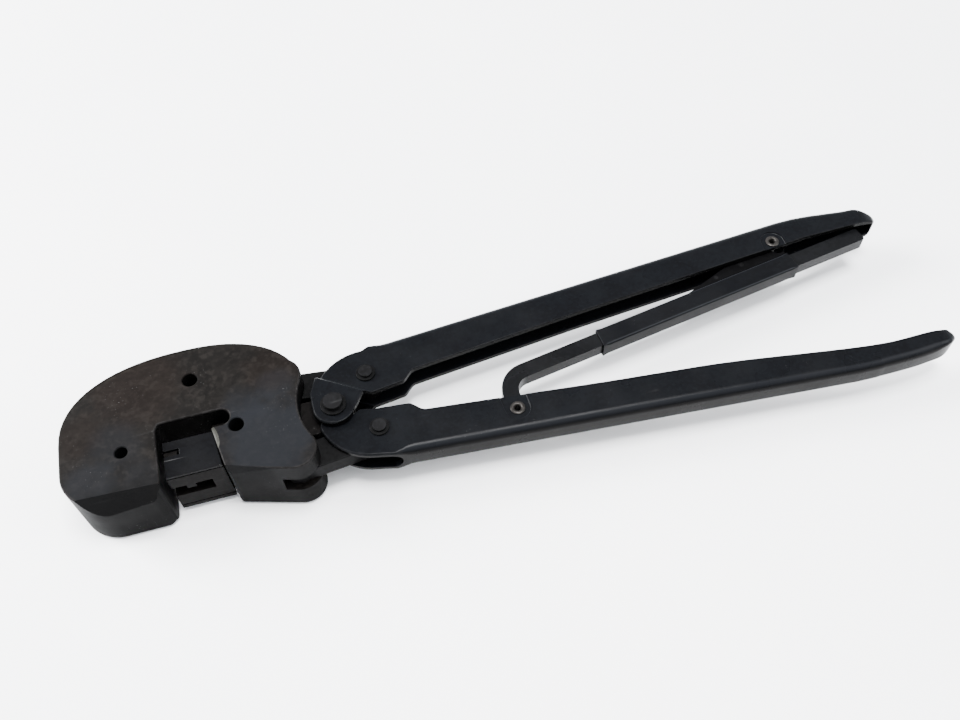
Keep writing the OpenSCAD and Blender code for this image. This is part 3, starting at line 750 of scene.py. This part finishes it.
def bent(p):
    """A point of the lower handle's outline, with its inner edge bent outwards and its front full."""
    x = p.x - PIVOT.x
    centre, radius = LOW_FRONT
    if x < LOW_FRONT_X and p.y < LOW_FRONT_Y:
        return centre + (p - centre).normalized() * radius
    if x < SHOULDER_X and p.y < SHOULDER_Y:
        return Vector((p.x, SHOULDER_START - (x - LOW_FRONT_X) * SHOULDER_SLOPE))
    inner = abs(p.y) < INNER_EDGE
    return Vector((p.x, p.y - inner * TIP_BEND * ease((x - BEND_START) / BEND_LENGTH)))


def with_tip(loop, tip):
    """The outline with its far end replaced by a Catmull-Rom curve through the tip's points."""
    tip = [Vector((PIVOT.x + x * MM, y * MM)) for x, y in tip]
    kept = [p.x < tip[0].x - 1 * MM for p in loop]
    start = next(i for i, here in enumerate(kept) if here and not kept[i - 1])
    body = [loop[(start + i) % len(loop)] for i in range(sum(kept))]
    points = [body[-1]] + tip + [body[0]]
    curve = []
    for a, b, c, d in zip(points, points[1:], points[2:], points[3:]):
        for t in (0, 0.25, 0.5, 0.75):
            curve.append(b + ((c - a) * t + (2 * a - 5 * b + 4 * c - d) * t * t
                              + (3 * b - a - 3 * c + d) * t ** 3) / 2)
    return body + curve + [tip[-1]]


def hairline(p, n):
    """The radius of a rim that is left sharp."""
    return 0.01 * MM


def make_handle(name, node, side, toggle, rivet):
    """A pressed channel; side is 1 or -1, where its back faces along Y."""
    mesh = NODES[node].data
    low, high = MID_Z - HANDLE_HALF, MID_Z + HANDLE_HALF
    plan = section(mesh, MID_Z + HANDLE_HALF - SHEET / 2)[0]
    if node == "upper_handle":
        ear = section(mesh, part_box(node)[1].z - SHEET / 2)[0]
        joined = rounded_slab("cheek", plan, low, high, hairline, 1)
        combine(joined, rounded_slab("ear", ear, low - MM, high + MM, hairline, 1), "UNION")
        plan = section(joined.data, MID_Z)[0]
        remove(joined)
    plan = dense(plan, 2.5 * MM)
    if node == "lower_handle":
        plan = with_tip([bent(p) for p in plan], LOW_TIP)

    def rim(p, n):
        front = FRONT_ROUND if n.y * side > 0 or p.x < PIVOT.x else RIM_ROUND
        most = BACK_ROUND + (TIP_ROUND - BACK_ROUND) * ease((p.x - TIP_X) / TIP_FADE + 1.3)
        return front + (most - front) * back_share(p, n, side)

    handle = rounded_slab(name, plan, low, high, rim, 6)
    paint(handle, "handle", "handle_edge_wear_and_highlight")
    # rims other than the back's rounding take the lighter rim tone: rubbed edges and a painted highlight
    for face in handle.data.polygons:
        flat = abs(face.normal.z) > 0.99 or abs(face.normal.z) < 0.05
        if not flat and back_share(face.center.xy, face.normal.xy.normalized(), side) < 0.2:
            face.material_index = 1
    combine(handle, rounded_slab(
        "room", room(plan, side), MID_Z - ROOM_HALF, MID_Z + ROOM_HALF,
        lambda p, n: ROOM_ROUND if BACK_START + 2 * MM < p.x < TIP_X - 5 * MM else 0.1 * MM, 4
    ))
    mouth_r = ROOM_HALF + 0.02 * MM
    combine(handle, rod("mouth", (MOUTH_X, 0, MID_Z), (MOUTH_X, side * CLEAR_Y, MID_Z), mouth_r))
    holes = (
        ("main_pivot_pin", half_size("main_pivot_pin").x), (toggle, half_size(toggle).x), (rivet, SHANK_R)
    )
    for pin, radius in holes:
        at, through = middle(pin), 20 * MM
        combine(handle, rod("hole", (at.x, at.y, MID_Z - through), (at.x, at.y, MID_Z + through), radius))
    for face_z, way in ((low, -1), (high, 1)):
        inner, outer = face_z - way * SEAT_DEPTH, face_z + way * 3 * MM
        seat = seat_outline(middle(rivet).xy, side)
        combine(handle, rounded_slab(
            "seat", seat, min(inner, outer), max(inner, outer), lambda p, n: SEAT_ROUND, 3
        ))
    dome(handle)
    if node == "upper_handle":
        joggle(handle)
    smooth(handle)
    dress(handle, node, node)


# ---- ratchet housing ----
BAR_TURN = math.radians(9.4)          # of the ratchet bar from the X axis
CASE_LOW, CASE_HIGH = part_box("ratchet_case")
CASE_SHEET = 0.7 * MM
CASE_ROUND = 0.9 * MM
CUT_ROUND = 0.15 * MM                 # rounding of the sheet's cut ends
CASE_BAR_W = 6.4 * MM                 # width of the bar, and the gap beside it
CASE_GAP = 0.2 * MM
CASE_OPEN = 52 * MM                   # start of the sleeve's open top
CASE_MOUTH = 8 * MM                   # the sleeve's front end lies within this of its least x
PIN_HOLE = 12 * MM                    # a longer opening in the tabs' section is the sleeve's hollow
TAB_SHIFT = 0.05 * MM                 # keeps the tabs' end off the sleeve's
TAB_HALF = half_size("pawl_pin").z


def make_case():
    """A folded sleeve round the bar, with two tabs set closer together over it."""
    mesh = NODES["ratchet_case"].data
    half = half_size("ratchet_case").z
    sleeve = section(mesh, MID_Z + half - CASE_SHEET / 2)[0]
    tab, *holes = section(mesh, MID_Z + TAB_HALF - CASE_SHEET / 2)
    tab = [p - Vector((TAB_SHIFT, 0)) for p in tab]
    case = rounded_slab("case_sheet", dense(sleeve, 2.5 * MM), CASE_LOW.z, CASE_HIGH.z,
                        lambda p, n: CASE_ROUND if abs(n.x) < 0.6 else CUT_ROUND, 4)
    paint(case, "case")
    # painted shade: the tabs get the near-black steel
    tabs = rounded_slab("tab", tab, MID_Z - TAB_HALF, MID_Z + TAB_HALF, lambda p, n: CUT_ROUND, 2)
    paint(tabs, "tab")
    combine(case, tabs, "UNION", own_material=True)
    start = min((p for p in sleeve if p.x < CASE_LOW.x + CASE_MOUTH), key=lambda p: p.y)
    matrix = Matrix.Translation((*start, MID_Z)) @ Matrix.Rotation(BAR_TURN, 4, "Z")
    width = CASE_BAR_W + 2 * CASE_GAP
    far, over = 120 * MM, 10 * MM
    hollow, gap = half - CASE_SHEET, TAB_HALF - CASE_SHEET
    way = (-over, CASE_SHEET, -hollow), (far, CASE_SHEET + width, hollow)
    combine(case, block("bar_way", *way, matrix))
    opening = (CASE_OPEN, CASE_SHEET + width / 2, -gap), (far, 3 * over, gap)
    combine(case, block("opening", *opening, matrix))
    for loop in holes:
        if max(p.x for p in loop) - min(p.x for p in loop) < PIN_HOLE:
            combine(case, rounded_slab("hole", loop, MID_Z - over, MID_Z + over, hairline, 1))
    smooth(case)
    dress(case, "ratchet_case", "ratchet_case")


# ---- hollow rivets ----
def make_rivet(name, node, body):
    """A hollow rivet with rolled ends."""
    at, half = middle(node), half_size(node).z
    bore_r, roll = 1.2 * MM, 0.6 * MM
    # the lip's points: radius in mm, and depth as a share of the roll
    lip = [(1.45, 0.25), (1.75, 0.02), (2.1, 0.0), (2.5, 0.08), (2.75, 0.35), (2.75, 0.6)]
    lower = [(r * MM, roll * share - half) for r, share in lip]
    upper = [(r, -z) for r, z in lower[::-1]]
    shank = [(SHANK_R, roll - half), (SHANK_R, half - roll)]
    profile = [(bore_r, roll - half)] + lower + shank + upper + [(bore_r, half - roll)]
    rivet = turned(name, at, [(r, at.z + z) for r, z in profile], closed=True)
    paint(rivet, "rivet")
    smooth(rivet, 50)
    dress(rivet, body, node)


# ---- toggle links ----
LINK_ROUND = 0.45 * MM
LINK_CHAMFER = 0.25 * MM


def make_link(name, node):
    """A toggle link with rounded rims and chamfered eyes."""
    outline, *holes = section(NODES[node].data, MID_Z)
    low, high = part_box(node)
    link = rounded_slab(name, outline, low.z, high.z, lambda p, n: LINK_ROUND, 4)
    paint(link, "linkage")
    for loop in holes:
        centre, radius = circle_of(loop)
        bore(link, centre, radius, low.z, high.z, LINK_CHAMFER)
    smooth(link)
    dress(link, node, node)


# ---- CAD pieces that stay: their steel, and the width in mm of their broken edges ----
KEPT = {
    "upper_link_pin": ("pin", 0.3), "lower_link_pin": ("pin", 0.3),
    "ram": ("ram_front_lit", 0.2), "ram_top_plate": ("ram", 0.2), "ram_bottom_plate": ("ram_front_lit", 0.2),
    "die_retainer": ("linkage", 0.15), "ram_plate_screws": ("pin", 0.15),
    "main_pivot_pin": ("pin", 0.5), "main_pin_rings": ("linkage", 0.15),
    "upper_toggle_pin": ("pin", 0.45), "upper_toggle_rings": ("linkage", 0.15),
    "lower_toggle_pin": ("pin", 0.45), "lower_toggle_rings": ("linkage", 0.15),
    "bar_spacers": ("linkage", 0.15), "ratchet_bar": ("ratchet", 0.5),
    "ratchet_pawl": ("linkage", 0.15), "pawl_pin": ("pin", 0.15), "spring_post": ("pin", 0.15),
    "pawl_spring": ("spring", 0.05),
}


def keep(node, material, width):
    """Gives a CAD piece its steel and broken edges."""
    piece = NODES[node]
    piece.data.materials.clear()
    paint(piece, material)
    weld = piece.modifiers.new("weld", "WELD")
    weld.merge_threshold = 1e-6
    edge = piece.modifiers.new("edge", "BEVEL")
    edge.width = width * MM
    edge.segments = 3
    edge.limit_method = "ANGLE"
    edge.angle_limit = math.radians(30)
    edge.harden_normals = True
    piece.modifiers.new("normals", "WEIGHTED_NORMAL").keep_sharp = True


# ---- floor and light ----
FLOOR_SIZE = 2.5
SKY_COLOUR = (0.95, 0.97, 1, 1)
SKY_STRENGTH = 1.7
LIGHTS = (                            # name, place, size and power; all face the pivot
    ("key", (0.1, 0.02, 1.6), 0.6, 95),
    ("left", (-1.2, 0.6, 0.75), 0.8, 140),
    ("right", (1.2, -0.5, 0.9), 0.8, 25),
)


def add_light(name, at, size, power):
    data = bpy.data.lights.new(name, "AREA")
    data.energy = power
    data.size = size
    light = bpy.data.objects.new(name, data)
    bpy.context.scene.collection.objects.link(light)
    aim = (PIVOT - Vector(at)).to_track_quat("-Z", "Y").to_matrix().to_4x4()
    light.matrix_world = Matrix.Translation(at) @ aim


def make_stage():
    bm = bmesh.new()
    bmesh.ops.create_grid(bm, x_segments=1, y_segments=1, size=FLOOR_SIZE)
    floor = new_object("floor", bm)
    n = Nodes("floor")
    n.link(n.mix(n.ramp(n.noise(3, 3), 0.3, 0.7), (0.74, 0.75, 0.77), (0.80, 0.80, 0.81)),
           n.shader.inputs["Base Color"])
    n.shader.inputs["Roughness"].default_value = 0.7
    floor.data.materials.append(n.material)
    world = bpy.data.worlds.new("world")
    bpy.context.scene.world = world
    world.use_nodes = True
    sky = world.node_tree.nodes["Background"].inputs
    sky["Color"].default_value = SKY_COLOUR
    sky["Strength"].default_value = SKY_STRENGTH
    for light in LIGHTS:
        add_light(*light)


make_camera()
make_stage()
make_head()
make_handle("upper_handle_shell", "upper_handle", 1, "upper_toggle_pin", "case_rivet")
make_handle("lower_handle_shell", "lower_handle", -1, "lower_toggle_pin", "bar_rivet")
make_case()
make_link("upper_toggle_link", "upper_link")
make_link("lower_toggle_link", "lower_link")
make_rivet("case_eyelet", "case_rivet", "upper_handle")
make_rivet("bar_eyelet", "bar_rivet", "lower_handle")
for kept_node, (steel_name, edge_width) in KEPT.items():
    keep(kept_node, steel_name, edge_width)
